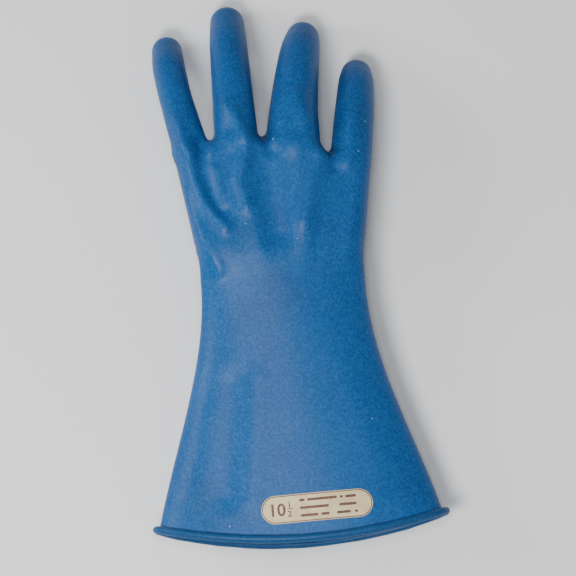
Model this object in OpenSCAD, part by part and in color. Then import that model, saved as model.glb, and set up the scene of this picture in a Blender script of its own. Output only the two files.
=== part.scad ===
// Rubber insulating glove for the right hand, lying palm down on its thumb, its
// fingertips and the rolled edge of its cuff. X runs across the hand, Y from the
// open end to the fingers, Z up. The origin is under the middle of the glove.
//
// The glove is one dipped rubber skin with a rolled edge and a label bonded to it.
// The skin is divided at its flex lines: sleeves keep their shape, and the folds
// between them are the stretches of skin that bend.

/* [Rubber] */
// Thickness of the rubber skin
wall = 0.75; // [0.6:0.05:1]
// Diameter of the rolled edge
roll_d = 5.5; // [4.5:0.25:6.5]

/* [Cuff] */
// Width of the open end, without the rolled edge
mouth_w = 183; // [176:1:190]
// Height of the open end, without the rolled edge
mouth_h = 46.5; // [42:0.5:50]
// How far the middle of the rim reaches past its two corners
rim_bow = 13; // [6:1:18]
// Distance from the rim to the narrowest place, the wrist
wrist_at = 166; // [160:1:168]
// Length of the stretch of skin that bends at the wrist
wrist_fold_l = 40; // [36:1:44]

/* [Hand] */
// Width of the wrist
wrist_w = 106; // [104:0.2:111]
// Thickness of the wrist
wrist_h = 34; // [32:0.2:36]
// Thickness of the palm where it meets the wrist
palm_h = 31; // [29:0.5:33]
// Height of the middle of the palm's wrist end above the table
palm_z = 43.5; // [42:0.5:46]
// How far the hand is rolled down towards the little finger
hand_roll = 7; // [0:0.5:9]

/* [Fingers] */
// Diameters of the index finger: root, first joint, last joint, tip
index_d = [22.8, 21.2, 21.2, 19.6]; // [19:0.2:24]
// Diameters of the middle finger
middle_d = [28, 26, 24.4, 22]; // [21:0.2:29]
// Diameters of the ring finger
ring_d = [33.6, 30, 26.4, 21.6]; // [21:0.2:34]
// Diameters of the little finger
little_d = [26.6, 25.8, 23.6, 20]; // [19:0.2:28]
// Diameters of the thumb: root, joint, tip
thumb_d = [27.6, 26.8, 23.6]; // [23:0.2:28.4]

/* [Label] */
// Length of the bonded label
label_l = 71; // [60:0.5:76]
// Width of the bonded label
label_w = 18; // [14:0.5:20]
// Thickness of the bonded label
label_t = 0.45; // [0.3:0.05:0.6]

/* [Hidden] */

RUBBER = "steelblue";
FLEX = "royalblue";
LABEL = "tan";
eps = 0.01;
slab = 1;               // thickness of the slabs that a hull runs between
seam = 0.02;            // the gap left where two stretches of skin meet
overcut = 2;            // how far a cavity runs past the end that it opens
frame_y = 178;          // half the glove's length: the rim to the frame's origin
arm_sides = 48;         // corners of the cuff's and the wrist's rings
finger_sides = 32;      // corners of the finger folds' rings
hull_sides = 32;        // corners of the palm's round ends
sleeve_sides = 64;      // corners of the sleeves' and the tips' rings
label_sides = 40;       // corners of the label's round ends

// --- The arm: an oval tube whose width, height and middle follow its length ---

roll_out = 1.7;         // how far the rolled edge's middle lies outside the skin
rest_gap = roll_out + roll_d / 2;  // the skin's height above the table at the rim
mouth_z = rest_gap + mouth_h / 2;
wrist_z = 40.5;         // height of the middle of the wrist
hand_x = -1.5;          // how far the hand lies to the thumb side of the cuff
palm_at = wrist_at + wrist_fold_l / 2;
gauntlet_end = wrist_at - wrist_fold_l / 2;

function mix(a, b, t) = a + (b - a) * t;
function past(y) = max(0, y - wrist_at) / (palm_at - wrist_at);
function before(y) = max(0, wrist_at - y) / wrist_at;
function arm_half_w(y) =
    mix(wrist_w, mouth_w, pow(before(y), 2) * (2 - before(y))) / 2 + 0.3 * past(y);
function arm_half_h(y) =
    mix(mix(wrist_h, mouth_h, before(y) * (2 - before(y))), palm_h, past(y)) / 2;
function arm_z(y) =
    mix(mix(mouth_z, wrist_z, pow(1 - before(y), 2)), palm_z, past(y));
function arm_x(y) = hand_x * min(1, y / 100);
function arm_bow(y) = rim_bow * before(y);
function arm_roll(y) = hand_roll * pow(min(1, y / palm_at), 2);

// A point of the ring at y, grown outwards by out, or shrunk where out is negative
function arm_point(y, angle, out) =
    let (u = (arm_half_w(y) + out) * cos(angle),
         v = (arm_half_h(y) + out) * sin(angle),
         roll = arm_roll(y))
    [arm_x(y) + u * cos(roll) + v * sin(roll),
     y + arm_bow(y) * pow(cos(angle), 2),
     arm_z(y) - u * sin(roll) + v * cos(roll)];
function arm_ring(y, out) =
    [for (i = [0 : arm_sides - 1]) arm_point(y, 360 * i / arm_sides, out)];

// --- The fingers: a chain of folds and sleeves, each turned a little further down ---

index_root = [-56.5, 264, 45.5];
middle_root = [-25.5, 267, 46];
ring_root = [10.5, 262, 42];
little_root = [48.5, 253, 36];
thumb_root = [-41.5, 205, 14.2];

// name, root, diameters, yaws, pitches, lengths of fold, sleeve, fold, sleeve, fold, tip
FINGERS = [
    ["index", index_root, index_d, [-14, -12, -8, -3], [5, 17, 31, 43],
        [14.5, 12.5, 13.5, 11, 12, 21]],
    ["middle", middle_root, middle_d, [-2, -1, -1, 0], [5, 15, 27, 38],
        [16.5, 14, 15.5, 12, 13.5, 26]],
    ["ring", ring_root, ring_d, [6, 8, 10, 13], [5, 16, 28, 38],
        [18, 13, 15.5, 9.5, 12.5, 20.5]],
    ["little", little_root, little_d, [8, 8, 7, 6], [6, 18, 30, 40],
        [14.5, 7.5, 13, 6, 11, 17.5]]
];
THUMB = ["thumb", thumb_root, thumb_d, [7, 9, 14], [0, 1, 3], [15, 10, 14, 24]];

function heading(yaw, pitch) =
    [sin(yaw) * cos(pitch), cos(yaw) * cos(pitch), -sin(pitch)];
function unit(v) = v / norm(v);
// Directions of the parts of a finger that keep their shape: its root, then its sleeves
function ways(f) = [for (i = [0 : len(f[3]) - 1]) heading(f[3][i], f[4][i])];
// Directions of all its stretches: a fold runs midway between the sleeves it joins
function run(f, i) =
    i % 2 == 0 ? unit(ways(f)[i / 2] + ways(f)[i / 2 + 1]) : ways(f)[(i + 1) / 2];
// Stations along a finger: 0 is its root, and each further one ends a stretch
function station(f, i) = i == 0 ? f[1] : station(f, i - 1) + f[5][i - 1] * run(f, i - 1);
function stretches(f) = len(f[5]);
function along(f, i) = i == 0 ? 0 : along(f, i - 1) + f[5][i - 1];
// Radius at a station: the diameters are given at the root, the joints and the tip
function radius(f, i) =
    let (share = (len(f[2]) - 1) * along(f, i) / along(f, stretches(f)),
         k = min(floor(share), len(f[2]) - 2))
    mix(f[2][k], f[2][k + 1], share - k) / 2;
// Two directions across a finger at angle a round it, for a ring that faces way
function across(way, a) =
    let (side = unit(cross(way, [0, 0, 1])), up = cross(side, way))
    side * cos(a) + up * sin(a);
function finger_ring(centre, way, r) =
    [for (i = [0 : finger_sides - 1]) centre + r * across(way, 360 * i / finger_sides)];
// A finger bends about a line across the middle of its fold, below the finger's own
// middle by this share of its radius: rubber stretches over the back of a joint more
// than it is squeezed underneath. The thumb lies on its side, so its lines stand up.
hinge_low = 0.5;
wrist_hinge = [hand_x, wrist_at, wrist_z];
function fold_centre(f, i) = (station(f, i) + station(f, i + 1)) / 2;
function hinge_at(f, i) = fold_centre(f, i) - hinge_low * radius(f, i) * across(run(f, i), 90);
function hinge_axis(f, i) = -unit(cross(run(f, i), [0, 0, 1]));
function thumb_hinge_at(i, inward) =
    fold_centre(THUMB, i) + inward * hinge_low * radius(THUMB, i) * across(run(THUMB, i), 0);

// --- Shapes ---

function backwards(list) = [for (i = [len(list) - 1 : -1 : 0]) list[i]];

// A solid whose skin runs through closed rings of points and back to the first ring
module ring_body(rings) {
    n = len(rings[0]);
    count = len(rings);
    polyhedron(
        points = [for (ring = rings) each ring],
        faces = [for (k = [0 : count - 1], i = [0 : n - 1])
            let (a = k * n + i, b = k * n + (i + 1) % n,
                 c = (k + 1) % count * n + (i + 1) % n, d = (k + 1) % count * n + i)
            each [[a, b, c], [a, c, d]]],
        convexity = 10);
}

// A tube of skin between two ends, from rings at stations given for its outside
module skin_tube(outside, inside) ring_body(concat(outside, backwards(inside)));

module lay(way) {
    yaw = atan2(way[0], way[1]);
    pitch = asin(-way[2] / norm(way));
    rotate([0, 0, -yaw]) rotate([-pitch, 0, 0]) rotate([-90, 0, 0]) children();
}

module frame_place() translate([0, -frame_y, 0]) children();

module oval_slice(from, to, out) {
    hull() for (y = [from, to])
        translate([arm_x(y), y + eps, arm_z(y)]) rotate([0, arm_roll(y), 0])
        rotate([90, 0, 0]) linear_extrude(eps)
        scale([arm_half_w(y) + out, arm_half_h(y) + out]) circle(1, $fn = arm_sides);
}

// --- The cuff ---

gauntlet_rings = 12;
rim_y = roll_d / 2;

module gauntlet() color(RUBBER) frame_place() {
    stations = [for (i = [0 : gauntlet_rings]) mix(rim_y, gauntlet_end, i / gauntlet_rings)];
    skin_tube([for (y = stations) arm_ring(y, 0)], [for (y = stations) arm_ring(y, -wall)]);
}

// The edge of the wet rubber, rolled outwards into a cord round the rim
roll_steps = 96;
roll_sides = 14;

function roll_middle(t) = arm_point(rim_y, t, roll_out);
function roll_ring(t) =
    let (way = unit(roll_middle(t + 1) - roll_middle(t - 1)),
         outward = unit(cross(way, [0, 1, 0])),
         forward = cross(outward, way))
    [for (i = [0 : roll_sides - 1])
        let (a = 360 * i / roll_sides)
        roll_middle(t) + roll_d / 2 * (outward * cos(a) + forward * sin(a))];

module cuff_roll() color(RUBBER) frame_place()
    ring_body([for (i = [0 : roll_steps - 1]) roll_ring(360 * i / roll_steps)]);

// The label lies on the back of the cuff beside the rim, and follows the skin
label_at = [10.4, 22.3];  // its middle, across the cuff and from the rim
label_turn = 1.6;       // it follows the bow of the rim
label_rings = 6;
label_reach = 36;       // how far from the rim the label's sheet runs before it is cut out

module oval_tube(out) {
    stations = [for (i = [0 : label_rings]) label_reach * i / label_rings];
    skin_tube([for (y = stations) arm_ring(y, out + label_t)],
              [for (y = stations) arm_ring(y, out)]);
}

module size_label() color(LABEL) frame_place() intersection() {
    oval_tube(seam);
    translate([label_at[0], label_at[1], mouth_z]) rotate(label_turn)
        linear_extrude(mouth_h) hull() for (side = [-1, 1])
        translate([side * (label_l - label_w) / 2, 0]) circle(d = label_w, $fn = label_sides);
}

wrist_rings = 4;

module wrist_fold() color(FLEX) frame_place() {
    stations = [for (i = [0 : wrist_rings])
        mix(gauntlet_end + seam, palm_at, i / wrist_rings)];
    skin_tube([for (y = stations) arm_ring(y, 0)], [for (y = stations) arm_ring(y, -wall)]);
}

// --- The hand ---

thenar = [-38, 188, 47];    // where the thumb's root starts to grow out of the palm
thenar_d = 19;
thenar_l = 10;

web_back = 6;           // how far the webs between the fingers lie behind their roots

// The end of a digit: from back to on along it, measured from its root
module root_end(f, out, back, on)
    translate(f[1]) lay(ways(f)[0])
    translate([0, 0, back]) cylinder(r = radius(f, 0) + out, h = on - back, $fn = hull_sides);

module web_end(f, out) root_end(f, out, -web_back - slab + out, -web_back + out);

module hand_mass(out, on) {
    for (i = [0 : 2]) hull() {
        oval_slice(palm_at - on, palm_at + slab, out);
        for (f = [FINGERS[i], FINGERS[i + 1]]) web_end(f, out);
    }
    for (f = concat(FINGERS, [THUMB])) root_end(f, out, -web_back - slab + out, on);
    hull() {
        translate(thenar) lay([0, 1, 0])
            cylinder(r = thenar_d / 2 + out, h = thenar_l, $fn = hull_sides);
        web_end(THUMB, out);
    }
}

module palm() color(RUBBER) frame_place() difference() {
    hand_mass(0, 0);
    hand_mass(-wall, overcut);
}

// --- Parts of a finger ---

fold_rings = 3;

// A fold's middle, at share t of its length, lies on the arc that meets both sleeves square
function fold_way(f, i, t) = unit(mix(ways(f)[i / 2], ways(f)[i / 2 + 1], t));
function fold_middle(f, i, t) =
    let (start = station(f, i), end = station(f, i + 1), reach = f[5][i] / 2)
    mix(mix(start, start + reach * fold_way(f, i, 0), t),
        mix(end - reach * fold_way(f, i, 1), end, t), t);
function fold_radius(f, i, t) = mix(radius(f, i), radius(f, i + 1), t);
function fold_skin(f, i, out) =
    [for (k = [0 : fold_rings])
        let (t = k / fold_rings)
        finger_ring(fold_middle(f, i, t), fold_way(f, i, t), fold_radius(f, i, t) + out)];

module fold(f, i) color(FLEX) frame_place()
    skin_tube(fold_skin(f, i, 0), fold_skin(f, i, -wall));

module sleeve(f, i) color(RUBBER) frame_place() {
    r1 = radius(f, i);
    r2 = radius(f, i + 1);
    l = f[5][i];
    translate(station(f, i)) lay(run(f, i)) rotate_extrude($fn = sleeve_sides)
        polygon([[r1 - wall, seam], [r1, seam], [r2, l - seam], [r2 - wall, l - seam]]);
}

dome_steps = 8;

// The outline of a domed end of radius r that reaches l along the finger
function dome(r, l) =
    [for (k = [0 : dome_steps])
        let (a = 90 * k / dome_steps)
        [r * cos(a), l + r * (sin(a) - 1)]];

module tip(f) color(RUBBER) frame_place() {
    i = stretches(f) - 1;
    r1 = radius(f, i);
    r2 = radius(f, i + 1);
    l = f[5][i];
    translate(station(f, i)) lay(run(f, i)) rotate_extrude($fn = sleeve_sides)
        polygon(concat([[r1 - wall, seam], [r1, seam]], dome(r2, l),
                       backwards(dome(r2 - wall, l - wall))));
}

// Which part of a finger a node is, by the end of its name
PARTS = ["_knuckle_fold", "_base_sleeve", "_middle_fold", "_middle_sleeve",
    "_end_fold", "_tip"];
THUMB_PARTS = ["_root_fold", "_sleeve", "_joint_fold", "_tip"];

module finger_part(f, i) {
    if (i == stretches(f) - 1) tip(f);
    else if (i % 2 == 0) fold(f, i);
    else sleeve(f, i);
}

// Prints a point on each hinge line, in the glove's frame, and the line's direction
module hinge_lines() {
    to_frame = [0, -frame_y, 0];
    echo("wrist", wrist_hinge + to_frame, [-1, 0, 0]);
    echo("thumb_base", thumb_hinge_at(0, -1) + to_frame, [0, 0, 1]);
    echo("thumb_tip", thumb_hinge_at(2, 1) + to_frame, [0, 0, -1]);
    for (f = FINGERS, i = [0, 2, 4])
        echo(str(f[0], PARTS[i]), hinge_at(f, i) + to_frame, hinge_axis(f, i));
}

gauntlet();
cuff_roll();
size_label();
wrist_fold();
palm();
for (i = [0 : 3])
    finger_part(THUMB, i);
for (f = FINGERS, i = [0 : 5])
    finger_part(f, i);
hinge_lines();
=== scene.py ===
import math

import bmesh
import bpy
import numpy as np
import openvdb
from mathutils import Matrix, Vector


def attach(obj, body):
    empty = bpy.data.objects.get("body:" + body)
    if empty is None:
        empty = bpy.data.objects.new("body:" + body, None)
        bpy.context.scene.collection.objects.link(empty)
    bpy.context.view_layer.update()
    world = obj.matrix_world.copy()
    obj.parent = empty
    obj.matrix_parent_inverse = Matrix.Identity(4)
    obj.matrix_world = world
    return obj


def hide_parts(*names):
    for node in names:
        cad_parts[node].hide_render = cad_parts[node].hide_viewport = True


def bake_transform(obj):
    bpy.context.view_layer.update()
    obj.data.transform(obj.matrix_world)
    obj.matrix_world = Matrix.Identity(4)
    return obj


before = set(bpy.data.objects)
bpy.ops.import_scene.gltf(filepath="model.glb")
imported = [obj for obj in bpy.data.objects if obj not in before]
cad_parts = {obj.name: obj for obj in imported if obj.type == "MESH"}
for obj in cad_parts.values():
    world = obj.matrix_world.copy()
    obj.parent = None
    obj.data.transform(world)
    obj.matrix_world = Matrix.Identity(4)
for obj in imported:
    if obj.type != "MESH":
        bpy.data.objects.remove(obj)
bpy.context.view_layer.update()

# The skin is worked out in millimetres, with Y counted from the outer edge of the cuff as in
# the design, and put into the frame at the end
MM = 0.001
FRAME_Y = 178
WALL = 0.75
VOXEL = 1.4
RELAX_ROUNDS = 3

# --- The arm: the design's oval tube ---

ROLL_D = 5.5
ROLL_OUT = 1.7
RIM_Y = ROLL_D / 2
MOUTH_W, MOUTH_H, RIM_BOW = 183, 46.5, 13
WRIST_AT, WRIST_FOLD = 166, 40
WRIST_W, WRIST_H, WRIST_Z = 106, 34, 40.5
PALM_AT, PALM_H, PALM_Z = WRIST_AT + WRIST_FOLD / 2, 31, 43.5
MOUTH_Z = ROLL_OUT + ROLL_D / 2 + MOUTH_H / 2
HAND_X, HAND_X_BY = -1.5, 100    # the tube's middle has moved over this much, by this far along
HAND_ROLL = 7                   # the degrees that the oval has turned at the palm
PALM_GROW = 0.3

# --- The digits ---

# Each one: its root, diameters spaced evenly along it, the yaw and pitch in degrees before,
# between and after its bends, and the lengths of its stretches: fold, sleeve, ..., fold, tip
DIGITS = {
    "index": ((-56.5, 264, 45.5), (22.8, 21.2, 21.2, 19.6), (-14, -12, -8, -3), (5, 17, 31, 43),
              (14.5, 12.5, 13.5, 11, 12, 21)),
    "middle": ((-25.5, 267, 46), (28, 26, 24.4, 22), (-2, -1, -1, 0), (5, 15, 27, 38),
               (16.5, 14, 15.5, 12, 13.5, 26)),
    "ring": ((10.5, 262, 42), (33.6, 30, 26.4, 21.6), (6, 8, 10, 13), (5, 16, 28, 38),
             (18, 13, 15.5, 9.5, 12.5, 20.5)),
    "little": ((48.5, 253, 36), (26.6, 25.8, 23.6, 20), (8, 8, 7, 6), (6, 18, 30, 40),
               (14.5, 7.5, 13, 6, 11, 17.5)),
    "thumb": ((-41.5, 205, 14.2), (27.6, 26.8, 23.6), (7, 9, 14), (0, 1, 3), (15, 10, 14, 24)),
}
FINGERS = ("index", "middle", "ring", "little")
FINGER_PARTS = ("_knuckle_fold", "_base_sleeve", "_middle_fold", "_middle_sleeve", "_end_fold",
                "_tip")
FINGER_BODIES = ("_base", "_middle", "_end")
THUMB_PARTS = ("_root_fold", "_sleeve", "_joint_fold", "_tip")
THUMB_BODIES = ("_base", "_end")
BEND_STEPS = (0.25, 0.5, 0.75, 1)       # where the rounded line through a fold has its points


def mix(a, b, t):
    return a + (b - a) * t


def smoothstep(low, high, x):
    t = np.clip((x - low) / (high - low), 0, 1)
    return t * t * (3 - 2 * t)


def unit(v):
    v = np.asarray(v, float)
    return v / np.linalg.norm(v)


def heading(yaw, pitch):
    yaw, pitch = math.radians(yaw), math.radians(pitch)
    level = math.cos(pitch)
    return np.array([math.sin(yaw) * level, math.cos(yaw) * level, -math.sin(pitch)])


class Digit:
    """A finger or the thumb: its pieces and bodies, its stations, runs, line and radii."""

    def __init__(self, name):
        root, diameters, yaws, pitches, lengths = DIGITS[name]
        ways = [heading(y, p) for y, p in zip(yaws, pitches)]
        thumb = name == "thumb"
        self.parts = [name + part for part in (THUMB_PARTS if thumb else FINGER_PARTS)]
        bodies = THUMB_BODIES if thumb else FINGER_BODIES
        self.bodies = ["hand"] + [name + body for body in bodies]
        # a fold, which has an even number, runs halfway between its two neighbours
        self.runs = [unit(ways[i // 2] + ways[i // 2 + 1]) if i % 2 == 0 else ways[(i + 1) // 2]
                     for i in range(len(lengths))]
        self.stations = [np.array(root, float)]
        for run, length in zip(self.runs, lengths):
            self.stations.append(self.stations[-1] + length * run)
        along = np.concatenate([[0], np.cumsum(lengths)])
        self.tip_r = diameters[-1] / 2
        knots = np.linspace(0, along[-1], len(diameters))
        # the line through the middle of the digit, its bends rounded, up to the dome's middle
        line = [self.stations[0]]
        at = [0.0]
        for i, length in enumerate(lengths):
            start, end = self.stations[i], self.stations[i + 1]
            if i % 2 == 0:
                for t in BEND_STEPS:
                    a = start + ways[i // 2] * length / 2 * t
                    b = end - ways[i // 2 + 1] * length / 2 * (1 - t)
                    line.append(mix(a, b, t))
                    at.append(along[i] + length * t)
            elif i < len(lengths) - 1:
                line.append(end)
                at.append(along[i + 1])
        line.append(self.stations[-1] - self.tip_r * self.runs[-1])
        at.append(along[-1] - self.tip_r)
        self.line = np.array(line)
        self.radii = np.interp(at, knots, np.array(diameters) / 2)
        self.radii[-1] = self.tip_r
        self.root_r = diameters[0] / 2
        self.root_way = ways[0]


DIGIT = {name: Digit(name) for name in DIGITS}


def soft_min(a, b, k):
    """The smaller of two, rounded over where they are within k of each other."""
    h = np.clip(0.5 + 0.5 * (b - a) / k, 0, 1)
    return mix(b, a, h) - k * h * (1 - h)


def soft_max(a, b, k):
    return -soft_min(-a, -b, k)


def before_wrist(y):
    """0 at the wrist and 1 at the cuff's edge."""
    return np.maximum(0, WRIST_AT - y) / WRIST_AT


def past_wrist(y):
    """0 at the middle of the wrist and 1 where the palm starts."""
    return np.maximum(0, y - WRIST_AT) / (PALM_AT - WRIST_AT)


def arm_shape(y):
    """Half width, half height, middle x, middle z and roll of the oval tube at y."""
    b = before_wrist(y)
    p = np.minimum(past_wrist(y), 1)
    half_w = mix(WRIST_W, MOUTH_W, b ** 2 * (2 - b)) / 2 + PALM_GROW * p
    half_h = mix(mix(WRIST_H, MOUTH_H, b * (2 - b)), PALM_H, p) / 2
    z = mix(mix(MOUTH_Z, WRIST_Z, (1 - b) ** 2), PALM_Z, p)
    x = HAND_X * np.minimum(1, y / HAND_X_BY)
    roll = np.radians(HAND_ROLL * np.minimum(1, np.maximum(y, 0) / PALM_AT) ** 2)
    return half_w, half_h, x, z, roll


def across_ring(points, ring):
    """Coordinates of points across the oval ring at y = ring, and its half width and height."""
    half_w, half_h, x, z, roll = arm_shape(ring)
    dx, dz = points[:, 0] - x, points[:, 2] - z
    u = dx * np.cos(roll) - dz * np.sin(roll)
    v = dx * np.sin(roll) + dz * np.cos(roll)
    return u, v, half_w, half_h


def bow_share(points, ring):
    """1 at the two ends of the oval and 0 at the middle of its back and front."""
    u, v, a, b = across_ring(points, ring)
    return (u / a) ** 2 / np.maximum((u / a) ** 2 + (v / b) ** 2, 1e-6)


def ring_of(points):
    """The ring that each point belongs to: towards the cuff, rings bow back at their ends."""
    y = points[:, 1]
    ring = y
    for _ in range(3):
        bow = RIM_BOW * bow_share(points, ring)
        ring = np.where(y < WRIST_AT, (y - bow) / (1 - bow / WRIST_AT), y)
    return ring


def arm_field(points):
    u, v, a, b = across_ring(points, ring_of(points))
    k0 = np.sqrt((u / a) ** 2 + (v / b) ** 2)
    k1 = np.sqrt((u / a ** 2) ** 2 + (v / b ** 2) ** 2)
    return k0 * (k0 - 1) / np.maximum(k1, 1e-9)


# The back of the hand spans the lines from the wrist to the four finger roots
RAY_Y = 176
RAY_START = {"index": (-39, 48, 14.4), "middle": (-15, 45.4, 15.6), "ring": (11, 42.4, 15.6),
             "little": (36, 39, 14.6)}
WEB_X = (-75, -46, -27, -9, 12, 33.5, 65)
WEB_Y = (258, 260, 263, 262.5, 258, 250.5, 240)
SLAB_SOFT, WEB_SOFT = 3.0, 9.0


def palm_field(points):
    """The slab over the four rays, ended at the webs."""
    x, y, z = points.T
    rays = []
    for name in FINGERS:
        digit = DIGIT[name]
        x0, z0, r0 = RAY_START[name]
        t = (y - RAY_Y) / (digit.stations[0][1] - RAY_Y)
        rays.append((mix(x0, digit.stations[0][0], t), mix(z0, digit.stations[0][2], t),
                     mix(r0, digit.root_r, np.clip(t, 0, 1))))
    slab = None
    for (xa, za, ra), (xb, zb, rb) in zip(rays, rays[1:]):
        ex, ez = xb - xa, zb - za
        t = np.clip(((x - xa) * ex + (z - za) * ez) / (ex ** 2 + ez ** 2), 0, 1)
        d = np.hypot(x - xa - t * ex, z - za - t * ez) - mix(ra, rb, t)
        slab = d if slab is None else soft_min(slab, d, SLAB_SOFT)
    web = np.interp(x, WEB_X, WEB_Y)
    return soft_max(slab, y - web, WEB_SOFT)


def round_cone(points, a, b, ra, rb):
    """Distance to the skin stretched over two balls."""
    ab = b - a
    length2 = ab @ ab
    taper = ra - rb
    side = length2 - taper ** 2
    pa = points - a
    y = pa @ ab
    z = y - length2
    x2 = ((pa * length2 - y[:, None] * ab) ** 2).sum(1)
    k = np.sign(taper) * taper ** 2 * x2
    d = (np.sqrt(x2 * side / length2) + y * taper) / length2 - ra
    first = np.sign(y) * side * y ** 2 * length2 < k
    last = np.sign(z) * side * z ** 2 * length2 > k
    d = np.where(first, np.sqrt(x2 + y ** 2 * length2) / length2 - ra, d)
    return np.where(last, np.sqrt(x2 + z ** 2 * length2) / length2 - rb, d)


def line_field(points, line, radii):
    """Distance to a chain of round cones."""
    cones = zip(line, line[1:], radii, radii[1:])
    return np.minimum.reduce([round_cone(points, *cone) for cone in cones])


HAND_FROM = 150                 # up to here the skin is the arm's tube alone
PALM_FROM, PALM_FULL = 170, 198
ROOT_BACK = 5                   # how far a finger's own tube reaches back into the palm
FINGER_NEAR = 30                # a finger's tube is looked at from this far before it starts
FINGER_SOFT, BALL_SOFT, THUMB_SOFT = 6.0, 7.0, 2.5
THUMB_SIDE = (5, 290, 62)       # the thumb and its ball stay below these in X, Y and Z
THUMB_BALL = np.array([(-37, 190, 45), (-41, 195, 31), (-42.6, 197, 15.5)])
THUMB_BALL_R = (12.5, 12, 13)
THUMB_START_R = 13.4


def skin_field(points):
    """Negative inside the glove's outside surface, about the distance to it in mm."""
    y = points[:, 1]
    arm = arm_field(points)
    field = arm.copy()
    hand = y > HAND_FROM
    if hand.any():
        p = points[hand]
        palm = mix(arm[hand], palm_field(p), smoothstep(PALM_FROM, PALM_FULL, p[:, 1]))
        for name in FINGERS:
            digit = DIGIT[name]
            start = digit.stations[0] - ROOT_BACK * digit.root_way
            line = np.vstack([start, digit.line])
            radii = np.concatenate([[digit.root_r], digit.radii])
            near = p[:, 1] > start[1] - FINGER_NEAR
            d = line_field(p[near], line, radii)
            palm[near] = soft_min(palm[near], d, FINGER_SOFT)
        near = (p < THUMB_SIDE).all(1)
        ball = line_field(p[near], THUMB_BALL, THUMB_BALL_R)
        digit = DIGIT["thumb"]
        line = np.vstack([THUMB_BALL[-1], digit.line])
        thumb = line_field(p[near], line, np.concatenate([[THUMB_START_R], digit.radii]))
        palm[near] = soft_min(soft_min(palm[near], ball, BALL_SOFT), thumb, THUMB_SOFT)
        field[hand] = palm
    return field - relief(points)


# --- Soft dents and ridges that handling and the thumb under the palm leave in the skin ---

BACK_FROM, BACK_FULL = -4, 8    # the relief fades in between these heights over the middle
# Each line: its points across and along the glove, its width, and its height or depth
RIDGES = [
    # on the back of the hand: from the fingers down to the thumb's side
    ([(-64, 276), (-58, 254), (-54, 234), (-48, 219), (-36, 203)], 4.4, 2.1),
    ([(-49, 258), (-47, 240), (-43, 225), (-38, 214)], 4.2, -1.8),
    ([(-40, 241), (-37, 219)], 3.4, 0.9),
    ([(-31, 284), (-23, 270), (-18, 256), (-26, 234), (-22, 216)], 4.6, 1.9),
    ([(-7, 250), (-5, 217), (-3, 199)], 10, -2.2),
    ([(15, 287), (23, 265), (27, 245), (21, 223), (16, 205)], 7, 2.1),
    ([(51, 275), (45, 241)], 4.8, 1.3),
    ([(-64, 232), (-56, 210), (-50, 193), (-42, 176)], 4.6, 1.6),
    # behind the webs between the fingers
    ([(-49, 263), (-48, 250)], 3.6, -1.6),
    ([(-9, 264), (-5, 252)], 3.6, -1.6),
    ([(33.5, 251), (36, 239)], 3.6, -1.6),
    # on the gauntlet
    ([(-38, 103), (-41, 73), (-46, 34)], 9, -1.5),
    ([(-22, 105), (-26, 66), (-32, 30)], 8, 0.7),
    ([(-60, 85), (-64, 60), (-70, 34)], 9, 0.8),
    ([(34, 110), (44, 80), (52, 50)], 11, 0.6),
]


def relief(points):
    """How far the skin of the back stands out, in mm."""
    back = across_ring(points, points[:, 1])[1]
    top = smoothstep(BACK_FROM, BACK_FULL, back)
    out = np.zeros(len(points))
    flat = points[:, :2]
    for line, width, height in RIDGES:
        line = np.array(line, float)
        reach = 4 * width
        near = (flat[:, 1] > line[:, 1].min() - reach) & (flat[:, 1] < line[:, 1].max() + reach)
        if not near.any():
            continue
        p = flat[near]
        best = np.full(len(p), np.inf)
        for a, b in zip(line, line[1:]):
            ab = b - a
            t = np.clip((p - a) @ ab / (ab @ ab), 0, 1)
            best = np.minimum(best, np.linalg.norm(p - a - t[:, None] * ab, axis=1))
        out[near] += height * np.exp(-(best / width) ** 2)
    return out * top


# --- The skin's mesh ---

MESH_LOW, MESH_HIGH = np.array([-104, -14, -6.0]), np.array([104, 370, 70.0])
MESH_START = -6         # the tube is closed off here, before it is cut at the rim
MESH_SHARES = 40        # the grid is worked out in this many shares, to save memory
SLOPE_MIN, MOVE_MAX = 0.2, 2
RELAX_SHARE = 0.6


def gradient(points, step=0.15):
    g = np.empty_like(points)
    for axis in range(3):
        shift = np.zeros(3)
        shift[axis] = step
        g[:, axis] = (skin_field(points + shift) - skin_field(points - shift)) / (2 * step)
    return g


def onto_skin(points, rounds):
    """Moves points onto the surface, along its slope."""
    for _ in range(rounds):
        g = gradient(points)
        size = np.maximum((g ** 2).sum(1), SLOPE_MIN)
        move = (skin_field(points) / size)[:, None] * g
        points = points - np.clip(move, -MOVE_MAX, MOVE_MAX)
    return points


def skin_mesh():
    """The closed outside surface of the glove, as points and four-sided faces."""
    counts = np.ceil((MESH_HIGH - MESH_LOW) / VOXEL).astype(int)
    axes = [low + VOXEL * np.arange(count) for low, count in zip(MESH_LOW, counts)]
    cells = np.stack(np.meshgrid(*axes, indexing="ij"), -1).reshape(-1, 3)
    values = np.concatenate([skin_field(part) for part in np.array_split(cells, MESH_SHARES)])
    values = np.maximum(values, MESH_START - cells[:, 1]).reshape(counts)
    grid = openvdb.FloatGrid()
    grid.copyFromArray(values.astype(np.float32))
    points, quads = grid.convertToQuads(0.0)
    return np.asarray(points, float) * VOXEL + MESH_LOW, np.asarray(quads)


def relaxed(points, quads, rounds):
    """Evens out the faces without leaving the surface."""
    edges = np.concatenate([quads[:, [i, (i + 1) % 4]] for i in range(4)])
    edges = np.concatenate([edges, edges[:, ::-1]])
    count = np.bincount(edges[:, 0], minlength=len(points))[:, None]
    for _ in range(rounds):
        total = np.stack([np.bincount(edges[:, 0], points[edges[:, 1], k], len(points))
                          for k in range(3)], 1)
        points = mix(points, total / np.maximum(count, 1), RELAX_SHARE)
        points = onto_skin(points, 1)
    return points


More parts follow.
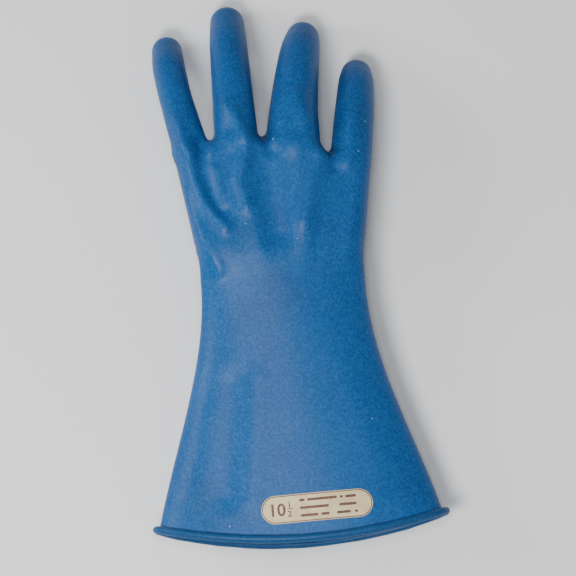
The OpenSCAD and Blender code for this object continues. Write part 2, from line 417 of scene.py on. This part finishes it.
class Cut:
    """A plane that ends or begins a stretch, and how far from its middle it reaches."""

    def __init__(self, at, way, reach=0):
        self.at, self.way, self.reach = np.array(at, float), unit(way), reach

    def beyond(self, points):
        return (points - self.at) @ self.way > 0

    def near(self, points):
        return np.linalg.norm(points - self.at, axis=1) < self.reach


CUT_BAND = 6            # a cut across the whole tube takes the faces this near to its plane
CUT_REACH = 1.45        # a digit's cuts reach this many of its root's radii
WRIST_CUT_ON = 1        # the wrist's fold starts this much further on than the design's
ZONE_BACK, ZONE_OUT = 3, 4      # how far behind its root and outside its tube a digit's skin is
WRIST_CUTS = [Cut((HAND_X, WRIST_AT - WRIST_FOLD / 2 + WRIST_CUT_ON, 40), (0, 1, 0)),
              Cut((HAND_X, PALM_AT, 43), (0, 1, 0))]


def digit_cuts(digit):
    """The two ends of each fold, in order along the digit."""
    return [Cut(digit.stations[k], digit.runs[i], digit.root_r * CUT_REACH)
            for i in range(0, len(digit.parts), 2) for k in (i, i + 1)]


def digit_zone(name, points):
    """Which points belong to this digit and no other, beyond its root."""
    mine = line_field(points, DIGIT[name].line, DIGIT[name].radii)
    ahead = (points - DIGIT[name].stations[0]) @ DIGIT[name].runs[0] > -ZONE_BACK
    for other in DIGITS:
        if other != name:
            theirs = line_field(points, DIGIT[other].line, DIGIT[other].radii)
            ahead &= mine < theirs
    return ahead & (mine < ZONE_OUT)


def cut_skin(points, quads):
    """Divides the skin at its flex lines. Returns points, faces and each face's region."""
    mesh = bpy.data.meshes.new("skin")
    mesh.from_pydata(points.tolist(), [], quads.tolist())
    bm = bmesh.new()
    bm.from_mesh(mesh)
    bpy.data.meshes.remove(mesh)

    def bisect(faces, at, way):
        geom = set(faces)
        for face in faces:
            geom.update(face.edges)
            geom.update(face.verts)
        bmesh.ops.bisect_plane(bm, geom=list(geom), dist=1e-3, plane_co=Vector(at),
                               plane_no=Vector(way))

    def centres():
        return np.array([f.calc_center_median() for f in bm.faces])

    # the rim is a plane once the rings' bow is taken out
    for vert, ring in zip(bm.verts, ring_of(np.array([v.co for v in bm.verts]))):
        vert.co.y = ring
    near = np.abs(centres()[:, 1] - RIM_Y) < CUT_BAND
    bisect([f for f, n in zip(bm.faces, near) if n], (0, RIM_Y, 0), (0, 1, 0))
    gone = [f for f in bm.faces if f.calc_center_median().y < RIM_Y]
    bmesh.ops.delete(bm, geom=gone, context="FACES")
    flat = np.array([v.co for v in bm.verts])
    bow = RIM_BOW * before_wrist(flat[:, 1]) * bow_share(flat, flat[:, 1])
    for vert, shift in zip(bm.verts, bow):
        vert.co.y += shift

    for cut in WRIST_CUTS:
        near = np.abs(centres()[:, 1] - cut.at[1]) < CUT_BAND
        bisect([f for f, n in zip(bm.faces, near) if n], cut.at, cut.way)
    for name, digit in DIGIT.items():
        for cut in digit_cuts(digit):
            middle = centres()
            near = cut.near(middle)
            near[near] = digit_zone(name, middle[near])
            bisect([f for f, n in zip(bm.faces, near) if n], cut.at, cut.way)

    middle = centres()
    region = np.full(len(middle), "palm", dtype=object)
    region[~WRIST_CUTS[1].beyond(middle)] = "wrist_fold"
    region[~WRIST_CUTS[0].beyond(middle)] = "gauntlet"
    hand = np.flatnonzero(middle[:, 1] > PALM_AT)
    for name, digit in DIGIT.items():
        mine = hand[digit_zone(name, middle[hand])]
        for cut, part in zip(digit_cuts(digit), digit.parts):
            mine = mine[cut.beyond(middle[mine])]
            region[mine] = part
    bm.verts.index_update()
    co = np.array([v.co for v in bm.verts])
    faces = [[v.index for v in f.verts] for f in bm.faces]
    bm.free()
    return co, faces, region


def new_object(name, data):
    obj = bpy.data.objects.new(name, data)
    bpy.context.scene.collection.objects.link(obj)
    return obj


def to_frame(points):
    """From the design's millimetres to the frame's metres."""
    return (np.asarray(points, float) - (0, FRAME_Y, 0)) * MM


def wall_piece(name, co, normals, faces):
    """One stretch of skin: its outside, its inside a wall's thickness in, and its cut edges."""
    used = sorted({v for f in faces for v in f})
    index = {v: i for i, v in enumerate(used)}
    n = len(used)
    outer = co[used]
    inner = outer - WALL * normals[used]
    outside = [[index[v] for v in f] for f in faces]
    inside = [[v + n for v in reversed(f)] for f in outside]
    edges = dict.fromkeys((a, b) for f in outside for a, b in zip(f, f[1:] + f[:1]))
    rims = [[b, a, a + n, b + n] for a, b in edges if (b, a) not in edges]
    mesh = bpy.data.meshes.new(name)
    mesh.from_pydata(to_frame(np.vstack([outer, inner])).tolist(), [], outside + inside + rims)
    split = []
    for poly in mesh.polygons:
        poly.use_smooth = True
        if poly.index < len(outside):
            split += [tuple(normals[used[v]]) for v in poly.vertices]
        elif poly.index < 2 * len(outside):
            split += [tuple(-normals[used[v - n]]) for v in poly.vertices]
        else:
            split += [tuple(poly.normal)] * len(poly.vertices)
    mesh.normals_split_custom_set(split)
    return new_object(name + "_skin", mesh)


def blend_stretch(obj):
    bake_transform(obj)


def skin_normals(points):
    normals = gradient(points)
    return normals / np.linalg.norm(normals, axis=1)[:, None]


def build_skin(material):
    points, quads = skin_mesh()
    points = relaxed(onto_skin(points, 3), quads, RELAX_ROUNDS)
    co, faces, region = cut_skin(points, quads)
    normals = skin_normals(co)
    pieces = {}
    for name in sorted(set(region)):
        mine = [faces[i] for i in np.flatnonzero(region == name)]
        obj = wall_piece(name, co, normals, mine)
        obj.data.materials.append(material)
        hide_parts(name)
        pieces[name] = obj
    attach(pieces["gauntlet"], "cuff")
    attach(pieces["palm"], "hand")
    blend_stretch(pieces["wrist_fold"])
    for digit in DIGIT.values():
        for i, part in enumerate(digit.parts):
            if i % 2 == 0:
                blend_stretch(pieces[part])
            else:
                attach(pieces[part], digit.bodies[(i + 1) // 2])


# --- The rolled edge ---

ROLL_STEPS, ROLL_SIDES = 480, 24
ROLL_IN = 0.12          # the visible roll is this much thinner than the design's cord
# The roll's thickness wanders: each wave's height, how many there are around, and its start
ROLL_WAVES = ((0.10, 7, 1), (0.07, 17, 2.1), (0.05, 31, 0))
ROLL_WAVES_SHARE = 0.8
TUCK_DEPTH, TUCK_AT, TUCK_WIDTH = 0.35, 3.9, 0.28       # the angles are in radians

def rim_point(t, out):
    """A point of the rim's oval at angle t, at the outside of the skin grown by out."""
    half_w, half_h, x, z, roll = arm_shape(np.array([RIM_Y]))
    u, v = (half_w + out) * np.cos(t), (half_h + out) * np.sin(t)
    return np.stack([x + u * np.cos(roll) + v * np.sin(roll),
                     RIM_Y + RIM_BOW * np.cos(t) ** 2,
                     z - u * np.sin(roll) + v * np.cos(roll)], -1)


def face_out(mesh, up=False):
    """Turns the faces outward, or the most of them up."""
    bm = bmesh.new()
    bm.from_mesh(mesh)
    bmesh.ops.recalc_face_normals(bm, faces=bm.faces)
    if up and sum(f.normal.z for f in bm.faces) < 0:
        bmesh.ops.reverse_faces(bm, faces=bm.faces)
    bm.to_mesh(mesh)
    bm.free()


def build_roll(material):
    # even spacing along the oval
    fine = np.linspace(0, 2 * np.pi, 4001)
    path = rim_point(fine, ROLL_OUT)
    length = np.concatenate([[0], np.cumsum(np.linalg.norm(np.diff(path, axis=0), axis=1))])
    t = np.interp(np.linspace(0, length[-1], ROLL_STEPS, endpoint=False), length, fine)
    middle = rim_point(t, ROLL_OUT)
    way = rim_point(t + 0.004, ROLL_OUT) - rim_point(t - 0.004, ROLL_OUT)
    way /= np.linalg.norm(way, axis=1)[:, None]
    outward = np.cross(way, (0, 1, 0))
    outward /= np.linalg.norm(outward, axis=1)[:, None]
    forward = np.cross(outward, way)
    turn = np.linspace(0, 2 * np.pi, ROLL_SIDES, endpoint=False)
    # the roll's edge tucks in on its inner side, and its thickness wanders a little
    wander = sum(h * np.sin(count * t[:, None] + start) for h, count, start in ROLL_WAVES)
    tuck = TUCK_DEPTH * np.exp(-((turn[None, :] - TUCK_AT) / TUCK_WIDTH) ** 2)
    radius = ROLL_D / 2 - ROLL_IN + wander * ROLL_WAVES_SHARE - tuck
    cos, sin = np.cos(turn)[None, :, None], np.sin(turn)[None, :, None]
    rings = middle[:, None, :] + radius[..., None] * (
        cos * outward[:, None, :] + sin * forward[:, None, :])
    faces = []
    for i in range(ROLL_STEPS):
        for j in range(ROLL_SIDES):
            here, ahead = i * ROLL_SIDES, (i + 1) % ROLL_STEPS * ROLL_SIDES
            k = (j + 1) % ROLL_SIDES
            faces.append((here + j, here + k, ahead + k, ahead + j))
    mesh = bpy.data.meshes.new("rolled_edge")
    mesh.from_pydata(to_frame(rings.reshape(-1, 3)).tolist(), [], faces)
    for poly in mesh.polygons:
        poly.use_smooth = True
    face_out(mesh)
    obj = new_object("rolled_edge", mesh)
    mesh.materials.append(material)
    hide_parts("cuff_roll")
    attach(obj, "cuff")


# --- The label ---

LABEL_L, LABEL_W, LABEL_T = 71, 18, 0.45
LABEL_AT = np.array([10.4, 22.3])
LABEL_TURN = math.radians(1.6)
PRINT = LABEL_T + 0.05          # the top of the ink
PRINT_DEPTH = 0.15
BAR_W = 1.7
# Plain bars stand for the print: each row's height, then where its words start and their lengths
PRINT_ROWS = [(4.9, [(-11, 3.5), (-6, 19), (14.8, 2), (18.2, 7)]),
              (0.0, [(-11, 18.5), (14, 11)]),
              (-4.9, [(-11, 11.5), (2, 5.5), (12, 9), (23.5, 2)])]


def on_back(flat, lift):
    """Points over the back of the cuff, lifted off the skin along its normal."""
    x, y = np.asarray(flat, float).T
    cos, sin = math.cos(LABEL_TURN), math.sin(LABEL_TURN)
    xy = LABEL_AT + np.stack([x * cos - y * sin, x * sin + y * cos], -1)
    # down onto the skin from a little above it
    points = np.column_stack([xy, np.full(len(xy), MOUTH_Z + MOUTH_H / 2 + 4.0)])
    for _ in range(12):
        points[:, 2] -= skin_field(points)
    return points + lift * skin_normals(points)


def stadium(length, width, sides=24, steps=14):
    """The outline of a strip with round ends, anticlockwise."""
    r, half = width / 2, (length - width) / 2
    right = [(half + r * math.cos(a), r * math.sin(a))
             for a in np.linspace(-np.pi / 2, np.pi / 2, sides)]
    top = [(x, r) for x in np.linspace(half, -half, steps)[1:-1]]
    left = [(-half + r * math.cos(a), r * math.sin(a))
            for a in np.linspace(np.pi / 2, 1.5 * np.pi, sides)]
    bottom = [(x, -r) for x in np.linspace(-half, half, steps)[1:-1]]
    return np.array(right + top + left + bottom)


def on_cuff(name, mesh, material):
    """Makes a mesh a part of the label, which rides on the cuff."""
    mesh.materials.append(material)
    obj = new_object(name, mesh)
    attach(obj, "cuff")
    return obj


def cuff_sheet(name, verts, faces, material):
    mesh = bpy.data.meshes.new(name)
    mesh.from_pydata(to_frame(verts).tolist(), [], faces)
    return on_cuff(name, mesh, material)


def strip(name, length, width, at, lift, depth, material, rows=9):
    """A strip with round ends laid on the skin, its edge turned down by depth."""
    r, half = width / 2, (length - width) / 2
    end = half + r * np.sin(np.linspace(0, np.pi / 2, 9))
    middle = np.linspace(-half, half, 4 + int(length))[1:-1]
    xs = np.concatenate([-end[::-1], middle, end])
    hs = r * np.sqrt(np.clip(1 - (np.maximum(np.abs(xs) - half, 0) / r) ** 2, 1e-3, 1))
    flat = np.stack([np.repeat(xs, rows), np.outer(hs, np.linspace(-1, 1, rows)).ravel()], 1) + at
    n = len(xs)
    cells = [i * rows + j for i in range(n - 1) for j in range(rows - 1)]
    faces = [(c, c + rows, c + rows + 1, c + 1) for c in cells]
    loop = [i * rows for i in range(n)] + [(n - 1) * rows + j for j in range(1, rows)]
    loop += [i * rows + rows - 1 for i in range(n - 2, -1, -1)] + list(range(rows - 2, 0, -1))
    first = len(flat)
    for k, a in enumerate(loop):
        m = (k + 1) % len(loop)
        faces.append((a, first + k, first + m, loop[m]))
    verts = np.vstack([on_back(flat, lift), on_back(flat[loop], lift - depth)])
    return cuff_sheet(name, verts, faces, material)


def printed_ring(name, insets, lifts, material):
    """A line printed all round the label, through outlines inset by these amounts."""
    outlines = [stadium(LABEL_L - 2 * i, LABEL_W - 2 * i) for i in insets]
    n = len(outlines[0])
    verts = np.vstack([on_back(o, lift) for o, lift in zip(outlines, lifts)])
    faces = [(k * n + i, k * n + (i + 1) % n, (k + 1) * n + (i + 1) % n, (k + 1) * n + i)
             for k in range(len(outlines) - 1) for i in range(n)]
    return cuff_sheet(name, verts, faces, material)


def numeral(text, size, at, ink, name):
    """A size figure, laid on the label as thin print."""
    curve = bpy.data.curves.new(name, "FONT")
    curve.body = text
    curve.size = size
    curve.offset = 0.02 * size
    curve.align_x = "LEFT"
    temp = new_object(name + "_curve", curve)
    bpy.context.view_layer.update()
    graph = bpy.context.evaluated_depsgraph_get()
    mesh = bpy.data.meshes.new_from_object(temp.evaluated_get(graph))
    bpy.data.objects.remove(temp)
    flat = np.array([v.co for v in mesh.vertices])[:, :2] + at
    co = to_frame(on_back(flat, PRINT))
    mesh.vertices.foreach_set("co", co.ravel())
    mesh.materials.clear()
    face_out(mesh, up=True)
    on_cuff(name, mesh, ink)


def build_label(paper, ink):
    plate = strip("label_plate", LABEL_L, LABEL_W, (0, 0), LABEL_T, LABEL_T + 0.2, paper)
    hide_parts("size_label")
    under = LABEL_T - 0.1
    printed_ring("label_border", (0.4, 0.4, 1.0, 1.0), (under, PRINT, PRINT, under), ink)
    numeral("10", 11, (-31, -3.9), ink, "label_size")
    numeral("1", 5.4, (-18.8, 1.0), ink, "label_half_top")
    numeral("2", 5.4, (-19.0, -4.9), ink, "label_half_bottom")
    strip("label_half_bar", 3.6, 0.6, (-17.3, 0.1), PRINT, PRINT_DEPTH, ink, 3)
    for row, (y, words) in enumerate(PRINT_ROWS):
        for word, (x, length) in enumerate(words):
            strip("label_print_%d_%d" % (row, word), length, BAR_W, (x + length / 2, y),
                  PRINT, PRINT_DEPTH, ink, 3)


# --- Materials ---


# Noise scales, in waves per metre
DRIFT, CLOUD, GRAIN, SPECKS = 22, 170, 620, 110
SPECK_SIZE, SPECK_RARE = 0.055, 0.72


def srgb(r, g, b):
    """A linear colour from levels of 0 to 255."""
    return tuple(((c / 255 + 0.055) / 1.055) ** 2.4 if c > 10 else c / 255 / 12.92
                 for c in (r, g, b)) + (1,)


def grey(level):
    return (level, level, level)


class Nodes:
    """A material's nodes, added and linked in one call each."""

    def __init__(self, name):
        self.material = bpy.data.materials.new(name)
        self.material.use_nodes = True
        self.tree = self.material.node_tree
        self.shader = self.tree.nodes["Principled BSDF"]
        self.place = self.add("ShaderNodeTexCoord").outputs["Object"]

    def put(self, socket, value):
        if isinstance(value, bpy.types.NodeSocket):
            self.tree.links.new(value, socket)
        else:
            socket.default_value = value

    def add(self, kind, **inputs):
        node = self.tree.nodes.new(kind)
        for key, value in inputs.items():
            self.put(node.inputs[key.replace("_", " ")], value)
        return node

    def noise(self, scale, detail=2.0, roughness=0.5, warp=0.0):
        node = self.add("ShaderNodeTexNoise", Vector=self.place, Scale=scale, Detail=detail,
                        Roughness=roughness, Distortion=warp)
        return node.outputs["Fac"]

    def ramp(self, value, stops, smooth=False):
        node = self.add("ShaderNodeValToRGB", Fac=value)
        ramp = node.color_ramp
        ramp.interpolation = "EASE" if smooth else "LINEAR"
        while len(ramp.elements) < len(stops):
            ramp.elements.new(0.5)
        for element, (at, colour) in zip(ramp.elements, stops):
            element.position = at
            element.color = colour if len(colour) == 4 else colour + (1,)
        return node.outputs["Color"]

    def blend(self, fac, a, b):
        node = self.tree.nodes.new("ShaderNodeMix")
        node.data_type = "RGBA"
        # the sockets for colours come after those for numbers and vectors
        for i, value in ((0, fac), (6, a), (7, b)):
            self.put(node.inputs[i], value)
        return node.outputs[2]

    def maths(self, operation, a, b):
        node = self.tree.nodes.new("ShaderNodeMath")
        node.operation = operation
        self.put(node.inputs[0], a)
        self.put(node.inputs[1], b)
        return node.outputs[0]

    def finish(self, colour, roughness, height, strength, distance, **uniform):
        bump = self.add("ShaderNodeBump", Strength=strength, Distance=distance, Height=height)
        inputs = {"Base Color": colour, "Roughness": roughness, "Normal": bump.outputs["Normal"]}
        for key, value in (uniform | inputs).items():
            self.put(self.shader.inputs[key.replace("_", " ")], value)
        return self.material


def rubber(name, deep, plain, pale):
    """Dipped rubber: a fine powdery mottle over slow drifts of colour, with a few specks."""
    n = Nodes(name)
    drift = n.noise(DRIFT, 3, 0.5, 0.3)
    cloud = n.noise(CLOUD, 4, 0.65)
    grain = n.noise(GRAIN, 4, 0.8)
    base = n.ramp(drift, [(0.25, deep), (0.5, plain), (0.8, pale)], smooth=True)
    base = n.blend(0.6, base, plain)
    powder = n.ramp(cloud, [(0.42, grey(0)), (0.75, grey(1))])
    base = n.blend(n.maths("MULTIPLY", powder, 0.3), base, pale)
    speckled = n.ramp(grain, [(0.4, deep), (0.5, plain), (0.6, pale)])
    base = n.blend(0.42, base, speckled)
    cells = n.add("ShaderNodeTexVoronoi", Vector=n.place, Scale=SPECKS)
    dot = n.maths("LESS_THAN", cells.outputs["Distance"], SPECK_SIZE)
    rare = n.maths("GREATER_THAN", cells.outputs["Color"], SPECK_RARE)
    speck = n.maths("MULTIPLY", dot, rare)
    base = n.blend(n.maths("MULTIPLY", speck, 0.5), base, srgb(190, 205, 220))
    rough = n.ramp(cloud, [(0.3, grey(0.4)), (0.75, grey(0.52))])
    height = n.maths("ADD", n.maths("MULTIPLY", grain, 0.7), n.maths("MULTIPLY", cloud, 0.6))
    return n.finish(base, rough, height, 0.35, 0.00012, IOR=1.5, Specular_IOR_Level=0.24,
                    Sheen_Weight=0.03, Sheen_Roughness=0.4, Sheen_Tint=srgb(110, 160, 220))


def label_paper():
    n = Nodes("label_paper")
    stain = [(0.3, srgb(196, 176, 132)), (0.7, srgb(224, 206, 164))]
    base = n.ramp(n.noise(90, 3, 0.6), stain, smooth=True)
    fibre = n.noise(1300, 3, 0.7)
    flecks = n.ramp(fibre, [(0.35, srgb(176, 152, 110)), (0.65, srgb(232, 216, 178))])
    base = n.blend(0.25, base, flecks)
    rough = n.ramp(fibre, [(0.3, grey(0.5)), (0.7, grey(0.62))])
    return n.finish(base, rough, fibre, 0.25, 0.00008, IOR=1.46)


def label_ink():
    n = Nodes("label_ink")
    wear = n.noise(900, 3, 0.7)
    base = n.ramp(wear, [(0.4, srgb(74, 44, 34)), (0.68, srgb(128, 92, 70))])
    rough = n.ramp(wear, [(0.3, grey(0.5)), (0.7, grey(0.65))])
    return n.finish(base, rough, wear, 0.2, 0.00005, IOR=1.46)


# --- Floor, lights and camera ---

FLOOR = 3.0             # half the floor's side
WORLD_COLOUR, WORLD_STRENGTH = (0.9, 0.95, 1, 1), 0.27


def build_floor():
    mesh = bpy.data.meshes.new("floor")
    corners = [(-FLOOR, -FLOOR, 0), (FLOOR, -FLOOR, 0), (FLOOR, FLOOR, 0), (-FLOOR, FLOOR, 0)]
    mesh.from_pydata(corners, [], [(0, 1, 2, 3)])
    n = Nodes("floor")
    base = n.ramp(n.noise(3, 2, 0.5), [(0.3, grey(0.83)), (0.7, grey(0.87))])
    rough = n.ramp(n.noise(4), [(0.3, grey(0.85)), (0.7, grey(0.9))])
    n.finish(base, rough, n.noise(50), 0.02, 0.0005)
    mesh.materials.append(n.material)
    new_object("floor", mesh)


def area_light(name, at, aim, size, energy, colour=(1, 1, 1)):
    light = bpy.data.lights.new(name, "AREA")
    light.shape = "DISK"
    light.size = size
    light.energy = energy
    light.color = colour
    obj = new_object(name, light)
    obj.location = at
    obj.rotation_euler = (Vector(aim) - Vector(at)).to_track_quat("-Z", "Y").to_euler()


VIEW_TURN, VIEW_UP = math.radians(-3.8), math.radians(82)
VIEW_AIM = Vector((0.00146, -0.0115, 0.0253))
VIEW_FAR = 2.6
VIEW_WIDTH = 0.3714      # what the picture spans at the glove


def build_camera():
    camera = bpy.data.cameras.new("camera")
    camera.lens = camera.sensor_width * VIEW_FAR / VIEW_WIDTH
    camera.clip_end = 20
    obj = new_object("camera", camera)
    level = math.cos(VIEW_UP)
    back = Vector((math.sin(VIEW_TURN) * level, -math.cos(VIEW_TURN) * level,
                   math.sin(VIEW_UP)))
    obj.location = VIEW_AIM + VIEW_FAR * back
    obj.rotation_euler = (-back).to_track_quat("-Z", "Y").to_euler()
    bpy.context.scene.camera = obj


def build_lights():
    world = bpy.data.worlds.new("studio")
    world.use_nodes = True
    background = world.node_tree.nodes["Background"].inputs
    background["Color"].default_value = WORLD_COLOUR
    background["Strength"].default_value = WORLD_STRENGTH
    bpy.context.scene.world = world
    area_light("key", (-0.34, -0.5, 1.15), (0, -0.04, 0.03), 0.42, 14)
    area_light("top", (-0.03, -0.1, 1.5), (0, 0, 0.03), 0.28, 6)
    area_light("fill", (0.9, -0.9, 1.0), (0, 0, 0.03), 1.2, 1.2, (0.92, 0.96, 1))
    area_light("left", (-1.1, 0.2, 0.6), (0, 0.05, 0.03), 0.45, 7)


build_camera()
build_floor()
build_lights()
BLUE = rubber("blue_rubber", srgb(2, 50, 98), srgb(8, 78, 138), srgb(46, 102, 160))
# The rolled edge is a darker copy of the blue rubber: painted shade on the roll
SHADED_EDGE = rubber("blue_rubber_painted_shade_edge", srgb(6, 50, 92), srgb(12, 66, 112), srgb(36, 90, 136))
build_skin(BLUE)
build_roll(SHADED_EDGE)
build_label(label_paper(), label_ink())

bpy.context.view_layer.update()
